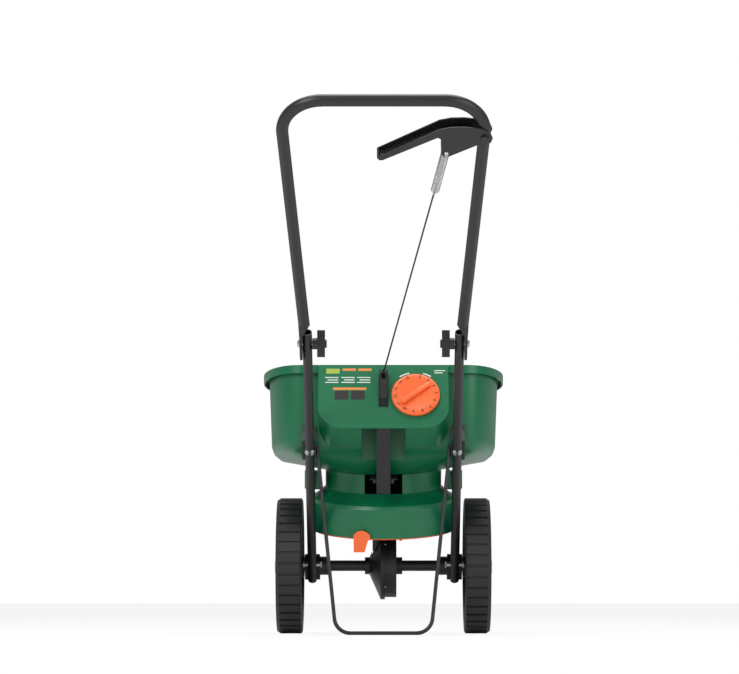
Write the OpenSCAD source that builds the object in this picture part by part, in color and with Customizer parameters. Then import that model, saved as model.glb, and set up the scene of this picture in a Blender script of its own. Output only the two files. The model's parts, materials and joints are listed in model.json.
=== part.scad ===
/* [Wheels and axle] */
// Radius of the two wheels
wheel_r = 120.5; // [100:0.5:150]
// Width of each wheel
wheel_w = 45; // [35:1:60]
// Gap from the lower tube to the inner face of the wheel
wheel_gap = 9.3; // [8:0.1:14]
// Diameter of the axle tube
axle_d = 19.05; // [16:0.05:22]
// Radial clearance of every turning fit
run_gap = 0.05; // [0.02:0.01:0.1]

/* [Lower tubes] */
// Diameter of the lower tubes
lower_d = 15.9; // [14:0.1:18]
// Distance from the centre plane to each lower tube
lower_x = 126.8; // [122:0.1:140]
// Lean of the lower tubes from the vertical, in degrees
lower_lean = 45; // [38:0.5:50]
// Along the tube, from abreast of the axle to the handle bolt
lower_len = 535; // [500:1:600]
// Length of tube past the handle bolt
tube_over = 25; // [20:1:32]

/* [Upper handle] */
// Diameter of the upper handle tube
upper_d = 19.05; // [17:0.05:22]
// Distance along the handle from the bolt to the cross bar
handle_len = 540; // [480:1:620]
// Lean of the upper handle from the vertical, in degrees
handle_lean = 51; // [46:0.5:55]
// Outward flare of each handle leg, in degrees
flare = 3.43; // [2.5:0.01:4.5]
// Bend radius of the two handle corners
corner_r = 63; // [50:1:75]
// Thickness of the flattened leg ends
tab_t = 4.7; // [3.5:0.1:6]

/* [Stand] */
// Diameter of the stand wire
stand_d = 6.35; // [5:0.05:8]
// Distance from the axle back to the stand's foot
stand_back = 247; // [220:1:290]
// Half width of the stand at its foot
foot_x = 81; // [70:1:92]
// Corner radius of the stand's foot
foot_r = 27; // [20:1:34]

/* [Hopper] */
// Half length of the straight part of the hopper's rim
rim_flat = 144; // [130:1:155]
// Reach of the rounded rim ends, sideways
rim_end = 68.6; // [60:0.2:75]
// Half depth of the hopper at its rim, front to back
rim_half = 160; // [150:1:170]
// Depth of the bin below its rim
bin_depth = 146; // [138:1:152]
// Wall of the hopper, shroud and panel
wall = 2.6; // [2:0.1:3.2]
// Forward tilt of the rim, in degrees
rim_tilt = 3.6; // [2:0.1:5]
// Height of the rim's rear edge above the ground
rim_z = 464; // [455:1:480]
// Distance from the axle back to the rim's rear edge
rim_back = 211; // [205:1:218]

/* [Control panel] */
// Length of the sloping control panel
panel_len = 128; // [120:1:135]
// Half width of the control panel
panel_x = 112; // [104:0.5:113]
// Slope of the panel from the vertical, in degrees
panel_lean = 28.6; // [26:0.2:31]
// Diameter of the rate dial
dial_d = 83; // [72:1:86]
// Position of the dial across the panel
dial_x = 55.2; // [52:0.2:58]
// Position of the dial below the rim, along the panel
dial_drop = 63.4; // [60:0.2:68]

/* [Shroud and impeller] */
// Radius of the impeller shroud
shroud_r = 130; // [120:1:134]
// Height of the shroud's skirt
shroud_h = 50; // [44:1:54]
// Radius of the neck between shroud and hopper
neck_r = 103; // [98:1:104]
// Backward lean of the impeller shaft, in degrees
spin_lean = 11; // [9:0.5:12]
// Radius of the impeller disc
impeller_r = 92; // [80:1:100]
// Radius of the gear case's drum
case_r = 60; // [56:0.5:64]

/* [Hidden] */
$fn = 48;
green = "#00693e";
black = "#262626";
orange = "#f26a2b";
zinc = "#b9bcbe";
gap = 0.3;
lap = 0.3;
swell = 0.3;
foot_z = (stand_d + swell) / 2;
tube_wall = 1.2;

// The lower tube passes behind the axle, on the operator's side
tube_off = axle_d / 2 + lower_d / 2 + 1.6;
bolt_y = -tube_off * cos(lower_lean) - lower_len * sin(lower_lean);
bolt_z = wheel_r - tube_off * sin(lower_lean) + lower_len * cos(lower_lean);
bar_y = bolt_y - handle_len * sin(handle_lean);
bar_z = bolt_z + handle_len * cos(handle_lean);
// The model's origin is on the ground, midway between its front and its back
rear_y = -bar_y + (upper_d + swell) / 2;
front_y = max(wheel_r, 2 * rim_half * cos(rim_tilt) - rim_back);
mid_y = (rear_y - front_y) / 2;
wheel_x = lower_x + lower_d / 2 + wheel_gap;

// Upper handle, drawn in its own plane: x across, y from the bolts to the cross bar
bolt_d = 6.35;
tab_x = lower_x + lower_d / 2 + gap + tab_t / 2;
tab_w = 26;
tab_low = 21.6;
tab_high = 28;
neck_high = 46;
leg_x = tab_x + tab_t / 2 - upper_d / 2 + 1.5;
leg_rise = handle_len - corner_r * (1 + sin(flare)) - neck_high - 2;
bar_half = leg_x + leg_rise * tan(flare) - corner_r * cos(flare);
corner_y = handle_len - corner_r;
leg_top_x = bar_half + corner_r * cos(flare);
leg_top_y = corner_y - corner_r * sin(flare);
leg_len = (leg_top_y - neck_high) / cos(flare);
neck_x = leg_top_x - leg_len * sin(flare);

// Trigger, in the plane of the handle
trigger_y = handle_len - 68;
trigger_x = neck_x + (trigger_y - neck_high) * tan(flare);
trigger_w = 24;
pin_dx = -59;
pin_dy = -33.5;

// Control panel: its top edge is the rim's rear edge
panel_r = 43;
slot_w = 16;
slot_top = 19;
slot_len = 67;
dial_t = 7;
// Lever in the panel, and the gate it works
lever_y = -230;
lever_z = 368;
eye_drop = 24;
eye_out = 12;
eye_y = -rim_back - eye_drop * sin(panel_lean) - eye_out * cos(panel_lean);
eye_z = rim_z - eye_drop * cos(panel_lean) + eye_out * sin(panel_lean);
recess_x = 37.5;
recess_deep = 42;
window_x = 33;

// Heights along the impeller's shaft, from the axle
skirt_z = 71;
deck_z = skirt_z + shroud_h;
neck_z = 145;
floor_z = 180;
disc_z = 88;
gate_t = 2;
gate_z = floor_z - 6;
gate_end = 141;
// The port in the hopper's floor, and how far the gate slides to uncover it
gate_travel = 25.1;
shaft_d = 10;
port_near = 36;
port_len = 22;
port_half = 20;
port_lap = 2;
pin_h = gate_z + 0.5;
hook_r = 5.2;
// The lever's lower arm points at the gate's cross pin
gate_pin_y = -gate_end * cos(spin_lean) - pin_h * sin(spin_lean);
gate_pin_z = wheel_r - gate_end * sin(spin_lean) + pin_h * cos(spin_lean);
arm_a = atan2(gate_pin_y - lever_y, lever_z - gate_pin_z);
arm_len = norm([gate_pin_y - lever_y, lever_z - gate_pin_z]) + 22;
arm_half = 12;
arm_deep = 12;

// Rod from the trigger's pin to the lever's eye
rod_d = 2.8;
spring_d = 14;
spring_in = 10;
spring_len = 112;
pin_y = bolt_y - (trigger_y + pin_dy) * sin(handle_lean);
pin_z = bolt_z + (trigger_y + pin_dy) * cos(handle_lean);
pin_x = trigger_x + pin_dx;
rod_v = [-pin_x, eye_y - pin_y, eye_z - pin_z];
rod_len = norm(rod_v);

// From the ground below the axle to the model's own frame
module grounded() translate([0, mid_y, 0]) children();
module at_axle() grounded() translate([0, 0, wheel_r]) children();
// Height runs along the impeller's shaft
module at_shaft() at_axle() rotate([spin_lean, 0, 0]) children();
module at_handle() grounded() translate([0, bolt_y, bolt_z]) rotate([90 + handle_lean, 0, 0])
    children();
// Height runs up the lower tube, from the handle's bolt
module at_tube(side) grounded() translate([side * lower_x, bolt_y, bolt_z])
    rotate([lower_lean, 0, 0]) children();
module at_rim() grounded() translate([0, -rim_back, rim_z]) rotate([-rim_tilt, 0, 0])
    translate([0, rim_half, 0]) children();
// Height runs out of the panel, y up along it
module at_panel() grounded() translate([0, -rim_back, rim_z]) rotate([90 - panel_lean, 0, 0])
    children();
// Along the rod, from the trigger's pin towards the lever
module at_rod() grounded() translate([pin_x, pin_y, pin_z])
    rotate([0, acos(rod_v[2] / rod_len), atan2(rod_v[1], rod_v[0])]) children();

module pipe2d(d) difference() {
    circle(d=d);
    circle(d=d - 2 * tube_wall);
}
// A rod along x from x0 to x1
module rod_x(x0, x1, d) translate([min(x0, x1), 0, 0]) rotate([0, 90, 0])
    cylinder(d=d, h=abs(x1 - x0));
module spread(side, x0, x1, d) rod_x(side * x0, side * x1, d);

// ---- hopper
module plan(inset) hull() for (s = [-1, 1]) translate([s * rim_flat, 0])
    scale([(rim_end - inset) / (rim_half - inset), 1]) circle(r=rim_half - inset, $fn=40);
module slab(inset, z) translate([0, 0, z]) linear_extrude(0.1) plan(inset);
// The shaft's frame, seen from the rim's
module at_neck() rotate([rim_tilt, 0, 0]) translate([0,
    rim_back - rim_half * cos(rim_tilt), wheel_r - rim_z + rim_half * sin(rim_tilt)])
    rotate([spin_lean, 0, 0]) children();
module neck_disc(r, z) at_neck() translate([0, 0, z]) cylinder(r=r, h=0.1);
module bin_hulls(g) {
    low = -bin_depth + g;
    hull() { slab(9.7 + g, g > 0 ? 1 : -0.6); slab(15 + g, low + 20); }
    hull() { slab(15 + g, low + 20); slab(19 + g, low + 9); }
    hull() { slab(19 + g, low + 9); slab(26 + g, low + 3); }
    hull() { slab(26 + g, low + 3); slab(38 + g, low); }
    hull() { slab(38 + g, low); neck_disc(neck_r - g, floor_z + g - 1); }
}
// The floor is square to the shaft, so that the gate can lie under it
module bin_solid(g) intersection() {
    bin_hulls(g);
    at_neck() translate([-250, -250, floor_z + g]) cube(500);
}
module rim_lip() difference() {
    translate([0, 0, -14]) linear_extrude(14) difference() {
        plan(0);
        plan(11);
    }
    translate([0, 0, -15]) linear_extrude(15 - 2.4) difference() {
        plan(2.4);
        plan(10.5);
    }
    translate([-panel_x - gap, -rim_half - 1, -20]) cube([2 * (panel_x + gap), 30, 40]);
}
module hopper() color(green) difference() {
    at_rim() union() {
        difference() {
            bin_solid(0);
            bin_solid(wall);
        }
        rim_lip();
        intersection() {
            bin_solid(0);
            translate([-recess_x - wall, -rim_half, -bin_depth - 60])
                cube([2 * (recess_x + wall), recess_deep + 13 + wall, bin_depth - 20]);
        }
    }
    at_rim() translate([-recess_x, -rim_half - 1, -bin_depth - 60])
        cube([2 * recess_x, recess_deep + 14, bin_depth - 20 - wall]);
    at_shaft() cylinder(r=9, h=floor_z + 40);
    at_shaft() translate([-port_half, -port_near - port_len, floor_z - 20])
        cube([2 * port_half, port_len, 44]);
}

// ---- control panel
module shield2d(g) {
    translate([-panel_x + g, -panel_len + panel_r]) square([2 * (panel_x - g), panel_len - panel_r]);
    translate([-panel_x + panel_r, -panel_len + g]) square([2 * (panel_x - panel_r), panel_len - g]);
    for (s = [-1, 1]) translate([s * (panel_x - panel_r), -panel_len + panel_r]) circle(r=panel_r - g);
}
module panel_wedge(g, top) intersection() {
    at_panel() translate([0, 0, -160]) linear_extrude(160 - top) shield2d(g);
    grounded() translate([-200, -rim_back - 100, 250]) cube([400, 100 + 9.3 - g * 0, 300]);
    at_rim() translate([-200, -rim_half - 120, -bin_depth]) rotate([2.4, 0, 0])
        cube([400, 120 + 14.6, bin_depth * 1.3]);
    at_rim() translate([-200, -300, -200]) cube([400, 600, 200 - g * 0.4]);
}
module control_panel() color(green) difference() {
    panel_wedge(0, 0);
    difference() {
        union() {
            panel_wedge(wall, wall);
            at_panel() translate([-recess_x, -panel_len - 20, -200])
                cube([2 * recess_x, 60, 200 - wall]);
        }
        for (s = [-1, 1]) at_panel() translate([s * (recess_x + wall / 2) - wall / 2, -200, -150])
            cube([wall, 260, 150]);
    }
    at_panel() translate([-slot_w / 2, -slot_top - slot_len, -10]) cube([slot_w, slot_len, 20]);
    at_panel() translate([dial_x, -dial_drop, -20]) cylinder(d=8, h=40);
    grounded() translate([0, lever_y, lever_z]) rod_x(-recess_x - 10, recess_x + 10, 6);
}
module dial_pivot() color(zinc) at_panel() translate([dial_x, -dial_drop, 0]) {
    translate([0, 0, -wall - 1]) cylinder(d=8 - 2 * run_gap, h=wall + 1 + dial_t - 2);
    translate([0, 0, -wall - 2]) cylinder(d=14, h=2);
}
module rate_dial() color(orange) at_panel() translate([dial_x, -dial_drop, gap]) difference() {
    union() {
        cylinder(d=dial_d, h=dial_t - 2);
        translate([0, 0, dial_t - 2]) cylinder(d1=dial_d, d2=dial_d - 4, h=2);
        rotate([0, 0, 40]) translate([-dial_d * 0.38, -4, dial_t - 0.5])
            cube([dial_d * 0.76, 8, 6]);
    }
    translate([0, 0, -1]) cylinder(d=8, h=dial_t - 1.2);
}

// ---- lever, gate
module lever2d() polygon([[eye_y - 6, eye_z + 5], [eye_y + 6, eye_z + 6],
    [lever_y + 24, lever_z + 42], [lever_y + 8, lever_z], [lever_y + 4, lever_z - 8],
    [lever_y - 8, lever_z - 4], [lever_y - 8, lever_z + 20], [lever_y - 22, lever_z + 36]]);
module side_plate(x0, w) translate([x0, 0, 0]) rotate([90, 0, 90]) linear_extrude(w) children();
module control_lever() color(black) grounded() {
    difference() {
        union() {
            side_plate(-7, 14) lever2d();
            translate([0, lever_y, lever_z]) {
                rod_x(0.4 - arm_half, arm_half - 0.4, 16);
                rotate([arm_a, 0, 0]) translate([-arm_half, -arm_deep / 2, -arm_len])
                    cube([2 * arm_half, arm_deep, arm_len]);
            }
        }
        translate([0, lever_y, lever_z]) rod_x(-20, 20, 6 + 2 * run_gap);
        translate([-4, eye_y - 20, eye_z - 11]) cube([8, 34, 30]);
        translate([0, lever_y, lever_z]) rotate([arm_a, 0, 0])
            translate([-20, -3.6, -arm_len + 4]) cube([40, 7.2, 26]);
    }
    translate([0, eye_y, eye_z]) rod_x(-6.5, 6.5, 4);
}
module lever_pivot() color(zinc) grounded() translate([0, lever_y, lever_z])
    rod_x(-recess_x - wall + 0.5, recess_x + wall - 0.5, 6);
module gate_plate() color(black) at_shaft() difference() {
    union() {
        translate([-24, -gate_end + 14, gate_z]) cube([48, gate_end + 12, gate_t]);
        for (s = [-1, 1]) translate([s * 16 - 2, -gate_end - 3, gate_z - 3]) cube([4, 24, 7]);
        translate([0, -gate_end, pin_h]) rod_x(-17, 17, 4.8);
    }
    translate([-shaft_d, -shaft_d / 2 - gate_travel - port_lap, gate_z - 1]) cube([2 * shaft_d, 80, 5]);
    translate([-port_half, -port_near - 2 * port_len - port_lap, gate_z - 1])
        cube([2 * port_half, port_len, 5]);
}

// ---- shroud, guard and impeller
module shroud2d() polygon([[shroud_r - wall, skirt_z], [shroud_r, skirt_z], [shroud_r, deck_z],
    [shroud_r - 3, deck_z + 6], [shroud_r - 10, deck_z + 9], [neck_r, neck_z],
    [neck_r, floor_z - 1], [neck_r - wall, floor_z - 1], [neck_r - wall, neck_z - wall],
    [shroud_r - 11, deck_z + 6], [shroud_r - 6, deck_z + 4], [shroud_r - wall, deck_z - 1]]);
module shroud() color(green) at_shaft() difference() {
    rotate_extrude($fn=96) shroud2d();
    translate([-200, 24, skirt_z - 1]) cube([400, 200, shroud_h - 4]);
    translate([-window_x, -shroud_r, neck_z]) cube([2 * window_x, shroud_r, floor_z]);
    for (a = [-150, -30]) rotate([0, 0, a]) translate([neck_r + 9, 0, 0]) cylinder(d=4, h=200);
}

guard_r = shroud_r - wall - 0.5;
module guard_tab2d() polygon([[-52, -14], [-33, -14], [-27, 6], [-23, 9.5], [-23.5, 16], [-29, 21],
    [-37, 24], [-45, 22.5], [-52, 17]]);
module edge_guard() color(orange) at_shaft() {
    rotate([0, 0, -170]) rotate_extrude(angle=160, $fn=96)
        translate([guard_r - 2.4, skirt_z - 2.6]) square([2.4, 14]);
    difference() {
        translate([-50, -shroud_r - 3.2, skirt_z - 2.4]) cube([23, 21, 1.8]);
        cylinder(r=guard_r - 1.2, h=200);
    }
    translate([0, -shroud_r - 1.2, skirt_z - 9]) rotate([90, 0, 0]) linear_extrude(3) guard_tab2d();
    for (a = [-105, -76]) rotate([0, 0, a]) translate([guard_r - 1.2, 0, skirt_z - 4.6])
        cylinder(d=5, h=3.4);
}
module impeller() color(black) at_shaft() difference() {
    union() {
        translate([0, 0, disc_z]) cylinder(r=impeller_r, h=2.4, $fn=72);
        translate([0, 0, disc_z - 3]) cylinder(r=12, h=22);
        for (a = [0:72:359]) rotate([0, 0, a]) translate([20, -1.2, disc_z + 2])
            cube([impeller_r - 24, 2.4, 12]);
    }
    cylinder(d=shaft_d, h=200);
}
module impeller_shaft() color(zinc) at_shaft() translate([0, 0, 30]) cylinder(d=shaft_d, h=floor_z + 10);
module agitator() color(black) at_shaft() difference() {
    union() {
        translate([0, 0, floor_z + 14]) cylinder(d=22, h=16);
        for (a = [0, 180]) rotate([0, 0, a]) translate([0, 0, floor_z + 20]) rotate([0, 90, 0])
            cylinder(d=5, h=58);
    }
    cylinder(d=shaft_d, h=floor_z + 60);
}

// ---- gear case and axle
pinion_r = 9.6;
module pinion() color(zinc) at_shaft() difference() {
    translate([0, 0, 34]) cylinder(r=pinion_r, h=14);
    cylinder(d=shaft_d, h=100);
}
module drive_gear() color(zinc) at_axle() difference() {
    union() {
        rod_x(pinion_r + 2.4, 18, 96);
        rod_x(pinion_r + 0.4, pinion_r + 2.4, 96);
    }
    rod_x(pinion_r, pinion_r + 2.4, 66);
    rod_x(0, 40, axle_d);
}
module gear_case() color(black) difference() {
    union() {
        at_axle() {
            rod_x(-5, 2.5, 2 * case_r);
            rod_x(2.5, 23, 2 * case_r - 8);
            rod_x(23, 33.6, 30.6);
        }
        at_shaft() translate([-19.5, -20, 30]) cube([42.5, 40, disc_z - 38]);
    }
    at_axle() {
        rod_x(-6, 20.4, 2 * case_r - 16);
        rod_x(0, 40, axle_d + 2 * run_gap);
    }
    at_shaft() {
        translate([-12, -15, 20]) cube([24, 30, disc_z - 36]);
        cylinder(d=10 + 2 * run_gap, h=100);
    }
}
module case_cover() color(black) at_axle() difference() {
    union() {
        rod_x(-33.2, -25, 30.6);
        translate([-25, 0, 0]) rotate([0, 90, 0]) cylinder(r1=15.3, r2=case_r, h=20 - 0.05, $fn=96);
    }
    translate([-23, 0, 0]) rotate([0, 90, 0]) cylinder(r1=12, r2=case_r - 4, h=19, $fn=96);
    rod_x(-40, 0, axle_d + 2 * run_gap);
    rotate([spin_lean, 0, 0]) translate([-20, -20.4, 14]) cube([50, 40.8, 90]);
}
module case_screws() color(zinc) at_axle() for (a = [40, 140, 220, 320]) rotate([a, 0, 0])
    translate([0, case_r - 1.95, 0]) rod_x(2.5, 4.6, 3.4);
module axle() color(black) at_axle() rod_x(-wheel_x - wheel_w - 2, wheel_x + wheel_w + 2, axle_d);
module wheel(side) color(black) at_axle() translate([side * wheel_x, 0, 0]) rotate([0, side * 90, 0])
    difference() {
        rotate_extrude($fn=96) polygon([[axle_d / 2 + (side < 0 ? run_gap : 0), -3],
            [20, -3], [20, 8], [26, 17], [wheel_r - 26, 17], [wheel_r - 20, 8],
            [wheel_r - 18, 0], [wheel_r - 3, 0], [wheel_r, 2], [wheel_r, wheel_w - 6],
            [wheel_r - 4, wheel_w], [wheel_r - 18, wheel_w], [wheel_r - 21, wheel_w - 8],
            [wheel_r - 26, 22], [26, 22], [20, wheel_w - 4], [20, wheel_w],
            [axle_d / 2 + (side < 0 ? run_gap : 0), wheel_w]]);
    }
module wheel_left() wheel(-1);
module wheel_right() wheel(1);
module cap(side) color(zinc) at_axle() difference() {
    spread(side, wheel_x + wheel_w + (side < 0 ? gap : 0), wheel_x + wheel_w + 4.4, axle_d + 9);
    spread(side, wheel_x + wheel_w - 1, wheel_x + wheel_w + 2, axle_d);
}
module cap_left() cap(-1);
module cap_right() cap(1);

// ---- axle brackets and lower tubes
module at_foot(side) at_axle() rotate([lower_lean, 0, 0]) children();
module bracket(side) color(black) difference() {
    at_foot(side) {
        translate([side > 0 ? 113 : -140, -tube_off - 1, -15]) cube([27, tube_off + 1, 44]);
        spread(side, 113, 140, 33);
        spread(side, 98.5, 113, 33);
    }
    at_foot(side) translate([side * lower_x, -tube_off, -60]) cylinder(d=lower_d, h=160);
    at_axle() rod_x(-150, 150, axle_d + 2 * run_gap);
    at_foot(side) translate([0, -tube_off, 21]) rod_x(-150, 150, bolt_d);
}
module bracket_left() bracket(-1);
module bracket_right() bracket(1);
module bracket_bolt(side) color(zinc) at_foot(side) translate([0, -tube_off, 21]) {
    spread(side, 110.5, 142, bolt_d);
    translate([side * 110.5, 0, 0]) rotate([0, 90, 0]) cylinder(d=11, h=2.4, center=true, $fn=6);
    spread(side, 140.05, 143, 11);
}
module bracket_bolt_left() bracket_bolt(-1);
module bracket_bolt_right() bracket_bolt(1);
saddle_z = -262;
module lower_tube(side) color(black) difference() {
    at_tube(side) translate([0, 0, -lower_len - 17]) linear_extrude(lower_len + 17 + tube_over)
        pipe2d(lower_d);
    at_tube(side) rod_x(-20, 20, bolt_d + 2 * run_gap);
    at_foot(side) translate([0, -tube_off, 21]) rod_x(-150, 150, bolt_d);
    at_tube(side) translate([0, 0, saddle_z + 22]) rotate([90, 0, 0])
        cylinder(d=5, h=40, center=true);
}
module lower_tube_left() lower_tube(-1);
module lower_tube_right() lower_tube(1);
module saddle(side) color(black) intersection() {
    at_tube(side) difference() {
        translate([side > 0 ? -8.7 : -13, 0.5, saddle_z]) cube([21.7, 40, 44]);
        translate([0, 0, saddle_z - 1]) cylinder(d=lower_d, h=60);
        translate([0, 0, saddle_z + 22]) rotate([90, 0, 0]) cylinder(d=5, h=60, center=true);
        translate([0, 12, saddle_z + 18]) spread(-side, 4, 30, stand_d + 0.2);
    }
    grounded() translate([-200, -rim_back - 150, 200]) cube([400, 150 + 7, 250]);
}
module saddle_left() saddle(-1);
module saddle_right() saddle(1);
module saddle_screw(side) color(zinc) at_tube(side) translate([0, 0, saddle_z + 22])
    rotate([90, 0, 0]) {
        translate([0, 0, -16]) cylinder(d=4.9, h=17 + lower_d / 2);
        intersection() {
            translate([0, 0, lower_d / 2 - 3.5]) sphere(r=8.3);
            translate([0, 0, lower_d / 2 + 0.05]) cylinder(d=16, h=10);
        }
    }
module saddle_screw_left() saddle_screw(-1);
module saddle_screw_right() saddle_screw(1);
module strut(side) color(green) grounded() difference() {
    translate([side > 0 ? 114 : -139, -80, 256]) cube([25, 60, 32]);
    translate([side > 0 ? 118 : -135, -90, 250]) cube([17, 66, 35]);
}
module strut_left() strut(-1);
module strut_right() strut(1);

// ---- stand
stand_top_x = lower_x - lower_d / 2 - 4.6;
stand_top_y = bolt_y + (-(saddle_z + 18)) * sin(lower_lean) + 12 * cos(lower_lean);
stand_top_z = bolt_z - (-(saddle_z + 18)) * cos(lower_lean) + 12 * sin(lower_lean);
stand_rise = norm([stand_top_y + stand_back, stand_top_z - foot_z]);
stand_tip = atan2(stand_top_y + stand_back, stand_top_z - foot_z);
splay = atan2(stand_top_x - foot_x, stand_rise);
bend_x = foot_x - foot_r * tan((90 - splay) / 2);
module stand() color(black) grounded() translate([0, -stand_back, foot_z])
    rotate([90 - stand_tip, 0, 0]) {
        rod_x(-bend_x - lap, bend_x + lap, stand_d);
        for (a = [0, 180]) rotate([0, a, 0]) {
            translate([bend_x, foot_r, 0]) rotate([0, 0, -90])
                rotate_extrude(angle=90 - splay) translate([foot_r, 0]) circle(d=stand_d + swell);
            translate([bend_x + foot_r * cos(splay), foot_r - foot_r * sin(splay), 0])
                rotate([-90, 0, -splay]) translate([0, 0, -lap]) cylinder(d=stand_d,
                    h=lap + (stand_rise - foot_r * (1 - sin(splay))) / cos(splay));
            translate([stand_top_x, stand_rise, 0]) {
                sphere(d=stand_d + 0.3);
                rod_x(0, 8, stand_d);
            }
        }
    }

// ---- upper handle
// The bends are a hair thicker than the straight runs, which lap into them
module run(d) {
    translate([-bar_half - lap, handle_len, 0]) rotate([0, 90, 0])
        cylinder(d=d, h=2 * (bar_half + lap));
    for (a = [0, 180]) rotate([0, a, 0]) {
        translate([bar_half, corner_y, 0]) rotate([0, 0, -flare]) rotate_extrude(angle=90 + flare)
            translate([corner_r, 0]) circle(d=d + swell);
        translate([leg_top_x, leg_top_y, 0]) rotate([90, 0, -flare]) translate([0, 0, -lap])
            cylinder(d=d, h=leg_len + lap);
    }
}
module neck() {
    hull() {
        translate([neck_x, neck_high + lap, 0]) rotate([90, 0, -flare])
            cylinder(d=upper_d + 0.6, h=0.1, $fn=32);
        translate([tab_x - tab_t / 2 - 0.1, tab_high - lap, -tab_w / 2 - 0.1])
            cube([tab_t + 0.2, 0.1, tab_w + 0.2]);
    }
    translate([tab_x - tab_t / 2, -tab_low, 0]) {
        translate([0, 0, -tab_w / 2]) cube([tab_t, tab_low + tab_high, tab_w]);
        translate([lap, 0, 0]) rotate([0, 90, 0]) cylinder(d=tab_w - lap, h=tab_t - 2 * lap);
    }
}
module upper_handle() color(black) at_handle() difference() {
    union() {
        run(upper_d);
        for (a = [0, 180]) rotate([0, a, 0]) neck();
    }
    run(upper_d - 2 * tube_wall);
    rod_x(-200, 200, bolt_d);
    translate([trigger_x, trigger_y, -20]) cylinder(d=6, h=40);
}
module bolt(side) color(zinc) at_handle() {
    spread(side, lower_x - lower_d / 2 - 12, tab_x + tab_t / 2 + 0.5, bolt_d);
    translate([side * (tab_x + tab_t / 2), 0, 0]) rotate([0, side * 90, 0])
        cylinder(d1=15, d2=9, h=4);
}
module bolt_left() bolt(-1);
module bolt_right() bolt(1);
knob_x = lower_x - lower_d / 2 - gap;
module knob(side) color(black) grounded() translate([0, bolt_y, bolt_z]) difference() {
    union() {
        spread(side, knob_x - 8, knob_x, 19);
        translate([side > 0 ? knob_x - 21 : 8 - knob_x, -8, -22]) cube([13, 16, 44]);
        spread(side, knob_x - 24, knob_x - 21, 14);
    }
    spread(side, knob_x - 14, knob_x + 1, bolt_d + 2 * run_gap);
}
module knob_left() knob(-1);
module knob_right() knob(1);

// ---- trigger, rod and spring
module trigger2d() polygon([[-167.5, -41], [-164, -46], [-158.6, -46.2], [-73, 0.9], [-68, -2],
    [-67.5, -33], [-64, -38], [-56, -39], [-12, -15], [2, -13], [10, -9], [12.5, 0], [9, 10],
    [-4, 19], [-31, 23], [-52, 22.5], [-70, 18]]);
module trigger() color(black) at_handle() translate([trigger_x, trigger_y, 0]) difference() {
    translate([0, 0, -trigger_w / 2]) linear_extrude(trigger_w) trigger2d();
    translate([2, 2.6, -trigger_w / 2 + 2]) linear_extrude(trigger_w - 4) trigger2d();
    translate([2, 20, -trigger_w / 2 + 2]) linear_extrude(trigger_w - 4) trigger2d();
    translate([1, 10, -trigger_w / 2 + 2]) linear_extrude(trigger_w - 4) trigger2d();
    translate([-18, -60, -trigger_w / 2 + 2]) cube([60, 120, trigger_w - 4]);
    translate([-74, -50, -8.5]) cube([28, 30, 17]);
    cylinder(d=6 + 2 * run_gap, h=60, center=true);
    translate([pin_dx, pin_dy, 0]) cylinder(d=5, h=60, center=true);
}
module trigger_bolt() color(black) at_handle() translate([trigger_x, trigger_y, 0]) {
    translate([0, 0, -trigger_w / 2 - 3]) cylinder(d=6, h=trigger_w + 5);
    translate([0, 0, trigger_w / 2 + 0.3]) cylinder(d=12, h=3);
    translate([0, 0, -trigger_w / 2 - 3.3]) cylinder(d=12, h=3);
}
module trigger_pin() color(zinc) at_handle() translate([trigger_x + pin_dx, trigger_y + pin_dy, 0]) {
    translate([0, 0, -trigger_w / 2 - 1]) cylinder(d=5, h=trigger_w + 2);
    translate([0, 0, trigger_w / 2]) cylinder(d1=8, d2=6, h=1.8);
    translate([0, 0, -trigger_w / 2 - 1.8]) cylinder(d1=6, d2=8, h=1.8);
}
module spring() color(zinc) at_rod() difference() {
    union() {
        translate([0, 0, spring_in]) cylinder(d=spring_d, h=spring_len - spring_in - 12);
        translate([0, 0, spring_len - 12]) cylinder(d1=spring_d, d2=3.6, h=12);
        rotate([0, 90, 0]) rotate_extrude() translate([4.2, 0]) circle(d=2.2, $fn=16);
        translate([0, 0, 4.6]) cylinder(d=2.6, h=spring_in - 4);
    }
}
module control_rod() color(black) at_rod() {
    translate([0, 0, spring_len + 0.02]) cylinder(d=rod_d, h=rod_len - spring_len - hook_r + 0.6);
    translate([0, 0, rod_len]) rotate([90, 0, 0]) rotate([0, 0, 75]) rotate_extrude(angle=200)
        translate([hook_r, 0]) circle(d=rod_d - 0.4, $fn=16);
}
hopper();
control_panel();
rate_dial();
dial_pivot();
control_lever();
lever_pivot();
gate_plate();
agitator();
shroud();
edge_guard();
impeller();
impeller_shaft();
pinion();
gear_case();
case_cover();
case_screws();
drive_gear();
axle();
wheel_left();
wheel_right();
cap_left();
cap_right();
bracket_left();
bracket_right();
bracket_bolt_left();
bracket_bolt_right();
lower_tube_left();
lower_tube_right();
saddle_left();
saddle_right();
saddle_screw_left();
saddle_screw_right();
strut_left();
strut_right();
stand();
upper_handle();
bolt_left();
bolt_right();
knob_left();
knob_right();
trigger();
trigger_bolt();
trigger_pin();
spring();
control_rod();
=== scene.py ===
"""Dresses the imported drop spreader: finishes for every CAD node and detailed pieces for what shows most."""

from __future__ import annotations

import json
import logging
import math
from dataclasses import dataclass, field
from enum import Enum
from typing import Any, Sequence

import bmesh
import bpy
from mathutils import Matrix, Vector

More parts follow.
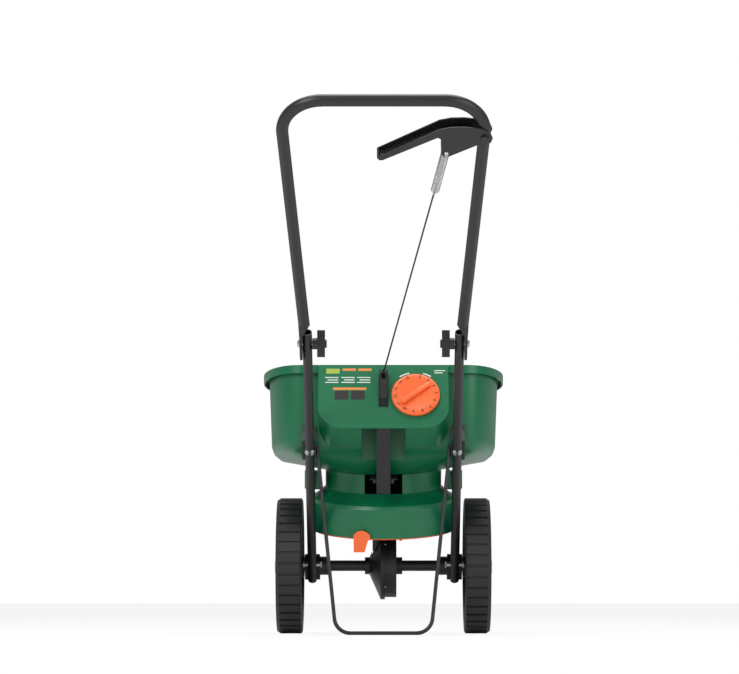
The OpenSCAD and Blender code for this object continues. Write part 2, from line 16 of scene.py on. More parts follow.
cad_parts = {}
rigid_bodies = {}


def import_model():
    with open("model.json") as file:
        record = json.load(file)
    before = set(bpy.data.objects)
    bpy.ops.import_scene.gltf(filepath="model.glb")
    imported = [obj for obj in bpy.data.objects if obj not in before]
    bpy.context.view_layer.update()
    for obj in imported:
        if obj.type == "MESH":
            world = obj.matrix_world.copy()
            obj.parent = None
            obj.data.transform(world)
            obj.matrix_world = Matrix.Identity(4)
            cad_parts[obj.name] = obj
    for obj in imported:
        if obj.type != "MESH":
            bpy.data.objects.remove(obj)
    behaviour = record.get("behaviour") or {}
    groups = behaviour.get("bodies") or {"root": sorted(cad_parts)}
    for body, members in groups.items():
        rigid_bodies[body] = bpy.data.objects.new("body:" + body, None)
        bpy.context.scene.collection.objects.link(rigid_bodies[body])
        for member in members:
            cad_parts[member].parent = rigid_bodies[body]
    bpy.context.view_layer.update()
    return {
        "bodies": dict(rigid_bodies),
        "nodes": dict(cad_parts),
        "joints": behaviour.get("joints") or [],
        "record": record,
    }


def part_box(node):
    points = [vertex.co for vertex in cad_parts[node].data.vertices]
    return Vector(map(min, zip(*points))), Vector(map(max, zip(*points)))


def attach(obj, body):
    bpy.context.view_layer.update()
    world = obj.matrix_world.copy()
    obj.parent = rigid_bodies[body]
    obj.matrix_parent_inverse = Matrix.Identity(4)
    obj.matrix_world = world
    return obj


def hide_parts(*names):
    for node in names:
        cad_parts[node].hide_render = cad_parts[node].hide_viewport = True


LOG = logging.getLogger("spreader")
MM = 0.001
# Broad tone changes over a moulding, and how much of its colour they and its grain decide
MOTTLE_SCALE, MOTTLE_DETAIL, MOTTLE_SHARE = 14.0, 3.0, 0.7
GRAIN_DETAIL, GRAIN_SHARE = 4.0, 0.3
MERGE = 1e-6
Colour = tuple[float, float, float]
# Across, down, width and height in mm
Bar = tuple[float, float, float, float]


class Side(Enum):
    """Which side of the machine a paired piece is on."""

    LEFT = "left"
    RIGHT = "right"

    @property
    def sign(self) -> int:
        """-1 on the left and 1 on the right."""
        return -1 if self is Side.LEFT else 1


class Slot(Enum):
    """The record's material slots."""

    GREEN = "green_plastic"
    ORANGE = "orange_plastic"
    COAT = "black_coat"
    WHEEL = "wheel_plastic"
    SPRING = "spring_steel"
    PLASTIC = "black_plastic"
    ZINC = "zinc_steel"


class Value:
    """A number socket that takes part in arithmetic; each operation adds one Math node."""

    def __init__(self, tree: "Nodes", socket: bpy.types.NodeSocket) -> None:
        """Wraps one socket.

        Args:
            tree: The node tree it is in.
            socket: The output it stands for.
        """
        self.tree = tree
        self.socket = socket

    def _join(self, operation: str, first: Any, second: Any) -> "Value":
        """Adds a Math node.

        Args:
            operation: The Math node's operation.
            first: The left value, a Value or a number.
            second: The right value, a Value or a number.

        Returns:
            The result.
        """
        made = self.tree.add("ShaderNodeMath", {"operation": operation}, {0: first, 1: second})
        return Value(self.tree, made.outputs[0])

    def __add__(self, other: Any) -> "Value":
        """self + other."""
        return self._join("ADD", self, other)

    def __radd__(self, other: Any) -> "Value":
        """other + self."""
        return self._join("ADD", other, self)

    def __mul__(self, other: Any) -> "Value":
        """self * other."""
        return self._join("MULTIPLY", self, other)

    def __rmul__(self, other: Any) -> "Value":
        """other * self."""
        return self._join("MULTIPLY", other, self)


class Nodes:
    """The node tree of a material or of the world, with one way of adding a node."""

    def __init__(self, owner: bpy.types.Material | bpy.types.World) -> None:
        """Switches the owner's nodes on and keeps its tree."""
        owner.use_nodes = True
        self.tree = owner.node_tree

    def add(self, kind: str, settings: dict[str, Any], inputs: dict[Any, Any]) -> bpy.types.Node:
        """Adds a node.

        Args:
            kind: The node's type.
            settings: Its properties, set first.
            inputs: Socket name or index to a Value, a socket or a constant.

        Returns:
            The node.
        """
        made = self.tree.nodes.new(kind)
        for key, value in settings.items():
            setattr(made, key, value)
        for key, value in inputs.items():
            self.feed(made.inputs[key], value)
        return made

    def feed(self, socket: bpy.types.NodeSocket, value: Any) -> None:
        """Links or sets one input socket.

        Args:
            socket: The input.
            value: A Value, an output socket or a constant.
        """
        if isinstance(value, Value):
            value = value.socket
        if isinstance(value, bpy.types.NodeSocket):
            self.tree.links.new(value, socket)
        else:
            socket.default_value = value

    def noise(self, scale: float, detail: float) -> Value:
        """Noise in the piece's own space.

        Args:
            scale: Waves in a metre.
            detail: Octaves.

        Returns:
            The noise, about 0 to 1.
        """
        place = self.add("ShaderNodeTexCoord", {}, {}).outputs["Object"]
        made = self.add("ShaderNodeTexNoise", {}, {"Vector": place, "Scale": scale, "Detail": detail})
        return Value(self, made.outputs[0])


@dataclass(frozen=True)
class Finish:
    """A surface: two close colours, its gloss, and the height of its grain."""

    name: str
    slot: Slot
    colour: Colour
    worn: Colour
    rough: float = 0.4
    rough_swing: float = 0.12
    metal: float = 0.0
    grain: float = 900.0
    depth: float = 0.1
    relief: float = 0.0002

    def build(self) -> bpy.types.Material:
        """Makes the material.

        Returns:
            The material, with colour, roughness and bump from its nodes.
        """
        material = bpy.data.materials.new(self.name)
        nodes = Nodes(material)
        broad = nodes.noise(MOTTLE_SCALE, MOTTLE_DETAIL)
        fine = nodes.noise(self.grain, GRAIN_DETAIL)
        blend = nodes.add(
            "ShaderNodeMix",
            {"data_type": "RGBA"},
            {0: broad * MOTTLE_SHARE + fine * GRAIN_SHARE, 6: (*self.colour, 1.0), 7: (*self.worn, 1.0)},
        )
        bump = nodes.add(
            "ShaderNodeBump",
            {},
            {"Strength": self.depth, "Distance": self.relief, "Height": fine},
        )
        shader = nodes.tree.nodes["Principled BSDF"]
        nodes.feed(shader.inputs["Base Color"], blend.outputs[2])
        smoothest = self.rough - self.rough_swing / 2
        nodes.feed(shader.inputs["Roughness"], smoothest + broad * self.rough_swing)
        nodes.feed(shader.inputs["Normal"], bump.outputs[0])
        nodes.feed(shader.inputs["Metallic"], self.metal)
        return material


GREEN = Finish(
    "green_moulded", Slot.GREEN, colour=(0.0, 0.139, 0.054), worn=(0.0, 0.12, 0.046),
    rough=0.36, rough_swing=0.1, grain=1100, depth=0.12,
)
ORANGE = Finish(
    "orange_moulded", Slot.ORANGE, colour=(0.94, 0.15, 0.03), worn=(0.88, 0.135, 0.028),
    rough=0.38, rough_swing=0.08, grain=1100,
)
COAT = Finish(
    "powder_coat", Slot.COAT, colour=(0.009, 0.009, 0.0095), worn=(0.014, 0.014, 0.0145),
    rough_swing=0.1, grain=1700, depth=0.3, relief=0.00015,
)
WHEEL = Finish(
    "wheel_moulded", Slot.WHEEL, colour=(0.008, 0.008, 0.0085), worn=(0.013, 0.013, 0.0135),
    rough=0.52, rough_swing=0.14, grain=1300, depth=0.25,
)
BLACK = Finish(
    "black_moulded", Slot.PLASTIC, colour=(0.008, 0.008, 0.0085), worn=(0.013, 0.013, 0.0135),
    rough=0.44, grain=1300, depth=0.2,
)
ZINC = Finish(
    "zinc_plate", Slot.ZINC, colour=(0.55, 0.56, 0.57), worn=(0.42, 0.43, 0.44),
    rough=0.3, rough_swing=0.16, metal=1.0, grain=700, depth=0.12,
)
SPRING = Finish(
    "plated_wire", Slot.SPRING, colour=(0.6, 0.6, 0.6), worn=(0.46, 0.46, 0.46),
    rough=0.32, metal=0.85,
)
WHITE_INK = Finish(
    "white_ink", Slot.GREEN, colour=(0.75, 0.78, 0.74), worn=(0.68, 0.72, 0.68),
    rough=0.5, rough_swing=0.1, grain=1500, depth=0.05,
)
DARK_INK = Finish(
    "dark_ink", Slot.ORANGE, colour=(0.09, 0.016, 0.006), worn=(0.07, 0.014, 0.006),
    rough=0.5, rough_swing=0.1, grain=1500, depth=0.05,
)
LIME_INK = Finish(
    "lime_ink", Slot.GREEN, colour=(0.33, 0.44, 0.05), worn=(0.3, 0.4, 0.05),
    rough=0.5, rough_swing=0.1, grain=1500, depth=0.05,
)
AMBER_INK = Finish(
    "amber_ink", Slot.GREEN, colour=(0.72, 0.24, 0.04), worn=(0.64, 0.21, 0.04),
    rough=0.5, rough_swing=0.1, grain=1500, depth=0.05,
)
# Painted shade: dark grey standing in for the shade inside a screw's cross recess; the real recess is zinc like
# the head
SCREW_RECESS_SHADE = Finish(
    "painted_recess_shade", Slot.ZINC, colour=(0.06, 0.06, 0.06), worn=(0.04, 0.04, 0.04),
    rough=0.6, rough_swing=0.1, metal=0.6, depth=0.05,
)


class Paintbox:
    """Builds each finish once."""

    def __init__(self) -> None:
        """Starts with no material built."""
        self.made: dict[str, bpy.types.Material] = {}

    def get(self, finish: Finish) -> bpy.types.Material:
        """The finish's material, built on its first use.

        Args:
            finish: The finish.

        Returns:
            The material.
        """
        if finish.name not in self.made:
            self.made[finish.name] = finish.build()
        return self.made[finish.name]


class Workshop:
    """What every sub-assembly shares: the frame, the finishes and the way a piece is finished off."""

    def __init__(self, frame: dict[str, Any]) -> None:
        """Keeps the frame and its joints by name."""
        self.frame = frame
        self.paint = Paintbox()
        self.joints = {j["name"]: j for j in frame["joints"]}

    def joint_place(self, name: str) -> Matrix:
        """A hinge's own frame: its origin on the hinge, Z along its axis and X across the machine.

        Args:
            name: The joint.

        Returns:
            The placing matrix.
        """
        joint = self.joints[name]
        upright = Vector(joint["axis"]).normalized()
        across = Vector((1.0, 0.0, 0.0))
        return frame_of(Vector(joint["pos_m"]), across, upright)

    def publish(
        self,
        name: str,
        mesh: bmesh.types.BMesh,
        finish: Finish,
        body: str,
        stands_for: Sequence[str] = (),
        smooth: float = 35.0,
    ) -> bpy.types.Object:
        """Turns a bmesh into a dressed piece that rides on a body.

        Args:
            name: The piece's name.
            mesh: The shape, in the row frame; it is freed.
            finish: Its finish.
            body: The CAD body it rides on.
            stands_for: CAD nodes it replaces.
            smooth: Edges flatter than this many degrees shade smooth.

        Returns:
            The object.
        """
        bmesh.ops.remove_doubles(mesh, verts=mesh.verts, dist=MERGE)
        bmesh.ops.recalc_face_normals(mesh, faces=mesh.faces)
        data = bpy.data.meshes.new(name)
        mesh.to_mesh(data)
        mesh.free()
        data.shade_smooth()
        data.set_sharp_from_angle(angle=math.radians(smooth))
        piece = bpy.data.objects.new(name, data)
        bpy.context.scene.collection.objects.link(piece)
        data.materials.append(self.paint.get(finish))
        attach(piece, body)
        if stands_for:
            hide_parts(*stands_for)
        LOG.info("%s: %d faces on %s", name, len(data.polygons), body)
        return piece

    def refine(
        self, node: str, finish: Finish, body: str, radius: float, limit: float = 40.0
    ) -> bpy.types.Object:
        """Stands a softened copy of a CAD node in for it.

        Args:
            node: The CAD node.
            finish: The copy's finish.
            body: The body it rides on.
            radius: The round on its sharp edges, in mm.
            limit: Only edges sharper than this many degrees are rounded.

        Returns:
            The piece.
        """
        mesh = bmesh.new()
        mesh.from_mesh(self.frame["nodes"][node].data)
        bmesh.ops.remove_doubles(mesh, verts=mesh.verts, dist=2e-6)
        bmesh.ops.dissolve_limit(mesh, angle_limit=math.radians(1.5), verts=mesh.verts, edges=mesh.edges)
        piece = self.publish(f"{node}_skin", mesh, finish, body, (node,), 30.0)
        edge = piece.modifiers.new("edges", "BEVEL")
        edge.width, edge.segments, edge.profile = radius * MM, 2, 0.5
        edge.limit_method, edge.angle_limit = "ANGLE", math.radians(limit)
        edge.use_clamp_overlap = True
        return piece


def frame_of(origin: Vector, across: Vector, upright: Vector) -> Matrix:
    """A placing matrix.

    Args:
        origin: Where local zero goes.
        across: The direction local X leans to.
        upright: The direction of local Z.

    Returns:
        The matrix.
    """
    up = upright.normalized()
    side = (across - up * across.dot(up)).normalized()
    deep = up.cross(side)
    made = Matrix((side, deep, up)).transposed().to_4x4()
    made.translation = origin
    return made


def absorb(mesh: bmesh.types.BMesh, part: bmesh.types.BMesh) -> None:
    """Adds a part to a mesh and frees the part.

    Args:
        mesh: The shape that grows.
        part: The shape that joins it.
    """
    held = bpy.data.meshes.new("part")
    part.to_mesh(held)
    part.free()
    mesh.from_mesh(held)
    bpy.data.meshes.remove(held)


def turned(profile: Sequence[tuple[float, float]], steps: int) -> bmesh.types.BMesh:
    """Spins a profile round Z.

    Args:
        profile: Radius and height pairs in mm, a closed outline.
        steps: Divisions of the circle.

    Returns:
        The shape.
    """
    mesh = bmesh.new()
    points = [mesh.verts.new((r * MM, 0.0, z * MM)) for r, z in profile]
    for first, second in zip(points, points[1:] + points[:1]):
        mesh.edges.new((first, second))
    bmesh.ops.spin(
        mesh, geom=mesh.verts[:] + mesh.edges[:], cent=(0, 0, 0), axis=(0, 0, 1),
        dvec=(0, 0, 0), angle=math.tau, steps=steps, use_merge=True,
    )
    bmesh.ops.remove_doubles(mesh, verts=mesh.verts, dist=MERGE)
    return mesh


def add_block(
    mesh: bmesh.types.BMesh, size: tuple[float, float, float], place: Matrix, soft: float = 0.0
) -> None:
    """Adds a box with rounded edges.

    Args:
        mesh: The shape it joins.
        size: Its width, depth and height in mm.
        place: Where its centre goes, in metres.
        soft: The round of its edges in mm.
    """
    made = bmesh.ops.create_cube(mesh, size=1.0)["verts"]
    bmesh.ops.scale(mesh, vec=Vector(size) * MM, verts=made)
    if soft:
        edges = list({e for v in made for e in v.link_edges})
        rounded = bmesh.ops.bevel(
            mesh, geom=edges, offset=soft * MM, segments=2, profile=0.5, affect="EDGES", material=-1
        )
        made = list({v for f in rounded["faces"] for v in f.verts} | {v for v in made if v.is_valid})
    bmesh.ops.transform(mesh, matrix=place, verts=made)


@dataclass
class Wheel:
    """A moulded wheel with a grooved tread, a ribbed web and a hub."""

    side: Side
    radius: float = 120.5
    width: float = 45.0
    grooves: int = 40
    steps_per_groove: int = 4
    groove_depth: float = 2.4
    groove_rim: float = 0.5
    bore: float = 9.6
    inset: float = 3.0
    ribs: int = 10
    rib_size: tuple[float, float, float] = (74, 5, 9)
    rib_place: tuple[float, float] = (58, 25)
    rib_soft: float = 1.0

    @staticmethod
    def turn_of(face: bmesh.types.BMFace) -> float:
        """The angle of a face's middle round the hub, from 0 to a full turn."""
        middle = face.calc_center_median()
        return math.atan2(middle.y, middle.x) % math.tau

    def profile(self) -> list[tuple[float, float]]:
        """The wheel's section.

        Returns:
            Radius and depth pairs in mm, the depth counted from the inner face outwards.
        """
        r, w = self.radius, self.width
        return [
            (self.bore, -self.inset), (20, -self.inset), (20, 8), (26, 17), (r - 26, 17), (r - 20, 8), (r - 18, 0),
            (r - 3, 0), (r, 2), (r, w - 6), (r - 4, w), (r - 18, w), (r - 21, w - 8), (r - 26, 22), (26, 22),
            (20, w - 4), (20, w), (self.bore, w),
        ]

    def build(self, shop: Workshop) -> None:
        """Makes the wheel in place of its CAD node.

        Args:
            shop: The workshop.
        """
        node = f"wheel_{self.side.value}"
        low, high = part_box(node)
        steps = self.grooves * self.steps_per_groove
        mesh = turned(self.profile(), steps)
        tread = [
            f for f in mesh.faces
            if all(abs(v.co.xy.length - self.radius * MM) < 1e-5 for v in f.verts)
        ]
        pitch = math.tau / steps
        cut = [
            f for f in tread
            if round(self.turn_of(f) / pitch - 0.5) % self.steps_per_groove == 0
        ]
        bmesh.ops.recalc_face_normals(mesh, faces=mesh.faces)
        bmesh.ops.inset_individual(
            mesh, faces=cut, thickness=self.groove_rim * MM, depth=-self.groove_depth * MM
        )
        out, deep = self.rib_place
        for i in range(self.ribs):
            turn = Matrix.Rotation(math.tau * i / self.ribs, 4, "Z")
            spot = turn @ Matrix.Translation((out * MM, 0, deep * MM))
            add_block(mesh, self.rib_size, spot, self.rib_soft)
        middle = (low + high) / 2
        face = (low if self.side is Side.RIGHT else high).x
        start = Vector((face + self.inset * MM * self.side.sign, middle.y, middle.z))
        place = frame_of(start, Vector((0, 1, 0)), Vector((self.side.sign, 0, 0)))
        bmesh.ops.transform(mesh, matrix=place, verts=mesh.verts)
        body = "drive" if self.side is Side.RIGHT else "free_wheel"
        shop.publish(f"tread_{node}", mesh, WHEEL, body, (node,), 28.0)


@dataclass
class Dial:
    """The rate dial: a dished disc with a grip, numbers and dots."""

    radius: float = 41.5
    thick: float = 7.0
    steps: int = 96
    grip_turn: float = 38.0
    grip_width: float = 9.0
    grip_height: float = 6.0
    grip_lift: float = 2.4
    grip_soft: float = 2.2
    ring_inset: float = 6.5
    print_lift: float = 0.12
    dot_radius: float = 0.55
    digit_size: float = 7.6
    digit_weight: float = 0.28
    first_number: int = 2
    numbers: int = 14

    def build(self, shop: Workshop) -> None:
        """Makes the dial, its grip and its printed numbers.

        Args:
            shop: The workshop.
        """
        place = shop.joint_place("dial_turn")
        r, t = self.radius, self.thick
        section = [
            (4.1, 0.4), (r - 0.6, 0.4), (r, 1.0), (r, t - 2.2), (r - 1.4, t - 0.6), (r - 3.0, t),
            (r - 10.5, t), (r - 12, t - 0.5), (0.3, t - 0.2), (0.3, t - 1.2), (4.1, t - 1.4),
        ]
        mesh = turned(section, self.steps)
        turn = Matrix.Rotation(math.radians(self.grip_turn), 4, "Z")
        spot = turn @ Matrix.Translation((0, 0, (t + self.grip_lift) * MM))
        add_block(mesh, (2 * r - 22, self.grip_width, self.grip_height), spot, self.grip_soft)
        bmesh.ops.transform(mesh, matrix=place, verts=mesh.verts)
        shop.publish("dial_face", mesh, ORANGE, "dial", ("rate_dial",), 32.0)
        self.print_numbers(shop, place)

    def print_numbers(self, shop: Workshop, place: Matrix) -> None:
        """Sets generic numbers and dots round the dial.

        Args:
            shop: The workshop.
            place: The dial's frame.
        """
        mesh = bmesh.new()
        ring, height = (self.radius - self.ring_inset) * MM, (self.thick + self.print_lift) * MM
        step = math.tau / (2 * self.numbers + 1)
        for i in range(2 * self.numbers):
            angle = math.pi / 2 - step * (i + 1)
            spot = place @ Matrix.Rotation(angle, 4, "Z") @ Matrix.Translation((ring, 0, height))
            if i % 2:
                made = bmesh.ops.create_circle(
                    mesh, cap_ends=True, radius=self.dot_radius * MM, segments=10
                )["verts"]
                bmesh.ops.transform(mesh, matrix=spot, verts=made)
            else:
                upright = spot @ Matrix.Rotation(-math.pi / 2, 4, "Z")
                self.add_number(mesh, str(self.first_number + i // 2), upright)
        shop.publish("dial_numbers", mesh, DARK_INK, "dial")

    def add_number(self, mesh: bmesh.types.BMesh, words: str, place: Matrix) -> None:
        """Adds one number's outline, filled, to a mesh.

        Args:
            mesh: The shape it joins.
            words: The digits.
            place: Where its middle goes.
        """
        text = bpy.data.curves.new("digits", "FONT")
        text.body, text.size, text.offset = words, self.digit_size * MM, self.digit_weight * MM
        text.align_x, text.align_y = "CENTER", "CENTER"
        text.resolution_u = 3
        holder = bpy.data.objects.new("digits", text)
        flat = holder.to_mesh()
        flat.transform(place)
        mesh.from_mesh(flat)
        holder.to_mesh_clear()
        bpy.data.objects.remove(holder)
        bpy.data.curves.remove(text)


@dataclass
class PanelMarks:
    """Plain printed blocks and bars on the control panel; none holds lettering."""

    proud: float = 0.15
    tabs: tuple[float, ...] = (-87.0, -59.0, -32.0)
    tab_width: float = 23.0
    dial_across: float = 55.2
    dial_down: float = 63.4
    arc_inner: float = 46.2
    arc_outer: float = 48.4
    arcs: tuple[tuple[float, float], ...] = ((103, 22), (56, 18))

    def bars(self, shop: Workshop, name: str, finish: Finish, spots: Sequence[Bar]) -> None:
        """Lays thin bars on the panel.

        Args:
            shop: The workshop.
            name: The piece's name.
            finish: Its ink.
            spots: Across, down, width and height of each in mm.
        """
        dial = shop.joint_place("dial_turn")
        mesh = bmesh.new()
        for across, down, wide, tall in spots:
            spot = Matrix.Translation(
                ((across - self.dial_across) * MM, (self.dial_down - down) * MM, self.proud / 2 * MM)
            )
            add_block(mesh, (wide, tall, self.proud), dial @ spot)
        shop.publish(name, mesh, finish, "chassis")

    def build(self, shop: Workshop) -> None:
        """Makes the marks.

        Args:
            shop: The workshop.
        """
        w = self.tab_width
        self.bars(shop, "mark_lime", LIME_INK, [(self.tabs[0], 13, w, 10)])
        headers = [(x, 10, w, 5) for x in self.tabs[1:]] + [(-58, 49, 57, 5)]
        self.bars(shop, "mark_amber", AMBER_INK, headers)
        lines = [
            (x - 2 + 2 * (i % 2), 26 + 5 * i, w - 5 * (i % 2), 1.7)
            for x in self.tabs for i in range(3)
        ]
        lines += [(97, 12, 19, 1.6), (95, 16.5, 14, 1.6)]
        self.bars(shop, "mark_white", WHITE_INK, lines)
        self.bars(shop, "mark_dark", BLACK, [(-72, 62, 24, 18), (-44, 62, 24, 18)])
        dial = shop.joint_place("dial_turn")
        arcs = bmesh.new()
        inner, outer = self.arc_inner, self.arc_outer
        for start, sweep in self.arcs:
            part = bmesh.new()
            corners = [(inner, 0.02), (outer, 0.02), (outer, self.proud), (inner, self.proud)]
            points = [part.verts.new((r * MM, 0, z * MM)) for r, z in corners]
            face = part.faces.new(points)
            bmesh.ops.spin(part, geom=[face, *face.edges, *face.verts], cent=(0, 0, 0), axis=(0, 0, 1),
                           dvec=(0, 0, 0), angle=math.radians(sweep), steps=12, use_merge=False)
            spot = dial @ Matrix.Rotation(math.radians(start), 4, "Z")
            bmesh.ops.transform(part, matrix=spot, verts=part.verts)
            absorb(arcs, part)
        shop.publish("mark_arcs", arcs, WHITE_INK, "chassis")


@dataclass
class ReturnSpring:
    """The close coil at the trigger's end of the control rod, with its eye and tail."""

    wire: float = 1.7
    coil_radius: float = 6.1
    start: float = 10.0
    length: float = 92.0
    turns: int = 46
    steps: int = 18
    hook_reach: float = 5.0
    eye_radius: float = 4.2
    eye_wire: float = 1.1

    def build(self, shop: Workshop) -> None:
        """Makes the coil in place of the plain CAD spring.

        Args:
            shop: The workshop.
        """
        origin = Vector(shop.joints["rod_swing"]["pos_m"])
        low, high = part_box("control_rod")
        reach = self.hook_reach * MM
        far = Vector((low.x + reach, high.y - reach, low.z + reach))
        place = frame_of(origin, Vector((1, 0, 0)), far - origin)
        mesh = bmesh.new()
        ring = bmesh.ops.create_circle(
            mesh, cap_ends=True, radius=self.wire / 2 * MM, segments=8
        )["verts"]
        stand = Matrix.Translation((self.coil_radius * MM, 0, self.start * MM))
        bmesh.ops.transform(mesh, matrix=stand @ Matrix.Rotation(math.pi / 2, 4, "X"), verts=ring)
        count = self.turns * self.steps
        bmesh.ops.spin(
            mesh, geom=mesh.faces[:] + mesh.edges[:] + mesh.verts[:], cent=(0, 0, 0), axis=(0, 0, 1),
            dvec=(0, 0, self.length / count * MM), angle=math.tau * self.turns, steps=count,
            use_merge=False,
        )
        end = self.start + self.length
        core = [(0.01, 4.8), (1.3, 4.8), (1.3, 11), (5.2, 11.5), (5.2, end - 1), (3.2, end + 4),
                (1.5, end + 9), (1.4, end + 22), (0.01, end + 22)]
        absorb(mesh, turned(core, 24))
        angles = [math.tau * i / 10 for i in range(10)]
        wire = self.eye_wire
        eye = turned([(self.eye_radius + wire * math.cos(a), wire * math.sin(a)) for a in angles], 28)
        bmesh.ops.transform(eye, matrix=Matrix.Rotation(math.pi / 2, 4, "Y"), verts=eye.verts)
        absorb(mesh, eye)
        bmesh.ops.transform(mesh, matrix=place, verts=mesh.verts)
        shop.publish("return_spring", mesh, SPRING, "rod", ("spring",), 50.0)


@dataclass
class SaddleScrew:
    """A pan head screw on the back of a lower tube; its cross recess is painted shade, a thin dark block on the
    head.
    """

    side: Side
    head: float = 8.2
    rise: float = 3.6
    shank: float = 2.4
    shank_length: float = 20.0
    sink: float = 5.9
    cross: tuple[float, float, float] = (7.6, 1.5, 0.5)
    cross_turn: float = 0.4

    def build(self, shop: Workshop) -> None:
        """Makes the screw in place of its CAD node.

        Args:
            shop: The workshop.
        """
        node = f"saddle_screw_{self.side.value}"
        low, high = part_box(node)
        outward = Vector((0, -1, -1)).normalized()
        crown = Vector(((low.x + high.x) / 2, low.y, low.z)) + Vector((0, self.sink, self.sink)) * MM
        h, r = self.head, self.rise
        foot = -r - self.shank_length
        section = [
            (0.01, foot), (self.shank, foot), (self.shank, -r), (h, -r), (h, -r + 1.2),
            (h * 0.86, -0.9), (h * 0.55, -0.15), (0.01, 0),
        ]
        mesh = turned(section, 40)
        place = frame_of(crown, Vector((1, 0, 0)), outward)
        bmesh.ops.transform(mesh, matrix=place, verts=mesh.verts)
        shop.publish(f"pan_{node}", mesh, ZINC, "chassis", (node,), 32.0)
        # Painted shade: the cross is a thin dark block on the head's crown, standing for the shade in the recess,
        # not a cut
        cross = bmesh.new()
        for turn in (0.0, math.pi / 2):
            spot = place @ Matrix.Rotation(turn + self.cross_turn, 4, "Z")
            add_block(cross, self.cross, spot, 0.1)
        shop.publish(f"cross_{node}", cross, SCREW_RECESS_SHADE, "chassis")


@dataclass
class NeckShadeSheet:
    """A black curved sheet inside the neck, painted shade for the dark hollow that the window behind the lever
    looks onto.
    """

    radius: float = 96.0
    thick: float = 1.6
    low: float = 109.0
    high: float = 166.0
    sweep: float = 150.0

    def build(self, shop: Workshop) -> None:
        """Makes the painted-shade sheet round the front of the shaft.

        Args:
            shop: The workshop.
        """
        mesh = bmesh.new()
        corners = [(self.radius, self.low), (self.radius + self.thick, self.low),
                   (self.radius + self.thick, self.high), (self.radius, self.high)]
        section = mesh.faces.new([mesh.verts.new((r * MM, 0, z * MM)) for r, z in corners])
        bmesh.ops.spin(mesh, geom=[section, *section.edges, *section.verts], cent=(0, 0, 0), axis=(0, 0, 1),
                       dvec=(0, 0, 0), angle=math.radians(self.sweep), steps=48, use_merge=False)
        start = Matrix.Rotation(math.radians(90 - self.sweep / 2), 4, "Z")
        bmesh.ops.transform(mesh, matrix=shop.joint_place("impeller_spin") @ start, verts=mesh.verts)
        # Painted shade: a black sheet so the hollow neck reads dark through the window
        shop.publish("neck_shade_sheet", mesh, BLACK, "chassis")


@dataclass
class Dressing:
    """Which finish each remaining CAD node keeps, and which nodes get softened edges."""

    soft: dict[str, tuple[Finish, str, float]] = field(
        default_factory=lambda: {
            "control_panel": (GREEN, "chassis", 1.2),
            "trigger": (BLACK, "trigger", 0.7),
            "control_lever": (BLACK, "lever", 0.8),
            "knob_left": (BLACK, "knob_l", 1.8),
            "knob_right": (BLACK, "knob_r", 1.8),
            "saddle_left": (BLACK, "chassis", 1.2),
            "saddle_right": (BLACK, "chassis", 1.2),
            "bracket_left": (BLACK, "chassis", 1.0),
            "bracket_right": (BLACK, "chassis", 1.0),
            "strut_left": (GREEN, "chassis", 1.0),
            "strut_right": (GREEN, "chassis", 1.0),
            "gear_case": (BLACK, "chassis", 0.9),
            "edge_guard": (ORANGE, "guard", 0.5),
            "hopper": (GREEN, "chassis", 0.6),
            "shroud": (GREEN, "chassis", 0.6),
        }
    )
    by_slot: dict[str, Finish] = field(
        default_factory=lambda: {f.slot.value: f for f in (GREEN, ORANGE, COAT, WHEEL, SPRING, BLACK, ZINC)}
    )

    def build(self, shop: Workshop) -> None:
        """Dresses every CAD node, then softens the ones that show their edges.

        Args:
            shop: The workshop.
        """
        slots = {s["node"]: s["material_slot"] for s in shop.frame["record"]["subparts"]}
        for name, node in shop.frame["nodes"].items():
            finish = self.by_slot[slots[name]]
            node.data.materials.clear()
            node.data.materials.append(shop.paint.get(finish))
        for name, (finish, body, radius) in self.soft.items():
            shop.refine(name, finish, body, radius)


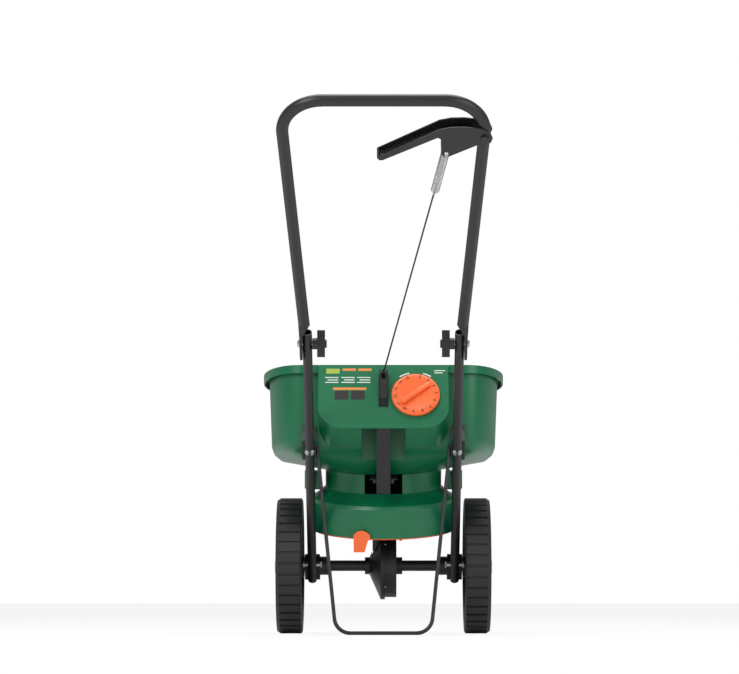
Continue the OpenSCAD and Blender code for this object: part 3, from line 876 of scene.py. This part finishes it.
@dataclass
class Studio:
    """The floor, the soft lights and the camera."""

    lens: float = 146.1
    sensor: float = 36.0
    away: float = 5.025
    height: float = 0.0605
    tilt: float = 95.0
    shift: float = -0.0189
    soft_light: float = 0.42
    white: float = 1.0
    floor_glow: float = 0.86

    def camera(self) -> None:
        """Sets the camera behind the handle, low and looking slightly up."""
        data = bpy.data.cameras.new("camera")
        data.lens, data.sensor_width, data.shift_x = self.lens, self.sensor, self.shift
        data.clip_start, data.clip_end = 0.1, 100.0
        holder = bpy.data.objects.new("camera", data)
        holder.location = (0.0, -self.away, self.height)
        holder.rotation_euler = (math.radians(self.tilt), 0.0, 0.0)
        bpy.context.scene.collection.objects.link(holder)
        bpy.context.scene.camera = holder

    def lamp(self, name: str, place: tuple[float, float, float], size: float, power: float) -> None:
        """Adds a soft square light aimed at the machine's middle.

        Args:
            name: Its name.
            place: Where it hangs, in metres.
            size: Its side in metres.
            power: Watts.
        """
        data = bpy.data.lights.new(name, "AREA")
        data.size, data.energy = size, power
        holder = bpy.data.objects.new(name, data)
        holder.location = place
        aim = Vector((0.0, 0.0, 0.4)) - Vector(place)
        holder.rotation_euler = aim.to_track_quat("-Z", "Y").to_euler()
        bpy.context.scene.collection.objects.link(holder)

    def floor_finish(self) -> bpy.types.Material:
        """A pale floor that the camera sees as bright as the background, with the machine's shadow on it.

        Returns:
            The material.
        """
        material = bpy.data.materials.new("pale_floor")
        nodes = Nodes(material)
        shader = nodes.tree.nodes["Principled BSDF"]
        broad = nodes.noise(3.0, 2.0)
        nodes.feed(shader.inputs["Base Color"], (0.8, 0.8, 0.8, 1.0))
        nodes.feed(shader.inputs["Roughness"], 0.85 + broad * 0.1)
        seen = Value(nodes, nodes.add("ShaderNodeLightPath", {}, {}).outputs["Is Camera Ray"])
        glow = nodes.add("ShaderNodeEmission", {}, {"Color": (1.0, 1.0, 1.0, 1.0), "Strength": self.white})
        both = nodes.add(
            "ShaderNodeMixShader", {},
            {0: seen * self.floor_glow, 1: shader.outputs[0], 2: glow.outputs[0]},
        )
        end = nodes.tree.nodes["Material Output"]
        nodes.feed(end.inputs[0], both.outputs[0])
        return material

    def build(self) -> None:
        """Makes the stage."""
        mesh = bmesh.new()
        bmesh.ops.create_grid(mesh, x_segments=2, y_segments=2, size=40.0)
        data = bpy.data.meshes.new("floor")
        mesh.to_mesh(data)
        mesh.free()
        floor = bpy.data.objects.new("floor", data)
        bpy.context.scene.collection.objects.link(floor)
        data.materials.append(self.floor_finish())
        world = bpy.data.worlds.new("studio")
        nodes = Nodes(world)
        seen = nodes.add("ShaderNodeLightPath", {}, {}).outputs["Is Camera Ray"]
        power = nodes.add("ShaderNodeMapRange", {}, {0: seen, 3: self.soft_light, 4: self.white})
        back = nodes.tree.nodes["Background"]
        nodes.feed(back.inputs[0], (1.0, 1.0, 1.0, 1.0))
        nodes.feed(back.inputs[1], power.outputs[0])
        bpy.context.scene.world = world
        bpy.context.scene.view_settings.view_transform = "Standard"
        self.lamp("key", (-2.2, -3.0, 2.6), 1.8, 90.0)
        self.lamp("fill", (2.6, -2.6, 1.6), 2.0, 45.0)
        self.lamp("top", (0.0, 0.6, 3.4), 2.4, 70.0)


def main() -> None:
    """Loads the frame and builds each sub-assembly in order."""
    logging.basicConfig(level=logging.INFO)
    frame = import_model()
    Studio().camera()
    shop = Workshop(frame)
    Dressing().build(shop)
    for side in Side:
        Wheel(side).build(shop)
        SaddleScrew(side).build(shop)
    Dial().build(shop)
    PanelMarks().build(shop)
    ReturnSpring().build(shop)
    NeckShadeSheet().build(shop)
    Studio().build()
    bpy.context.view_layer.update()


if __name__ == "__main__":
    main()
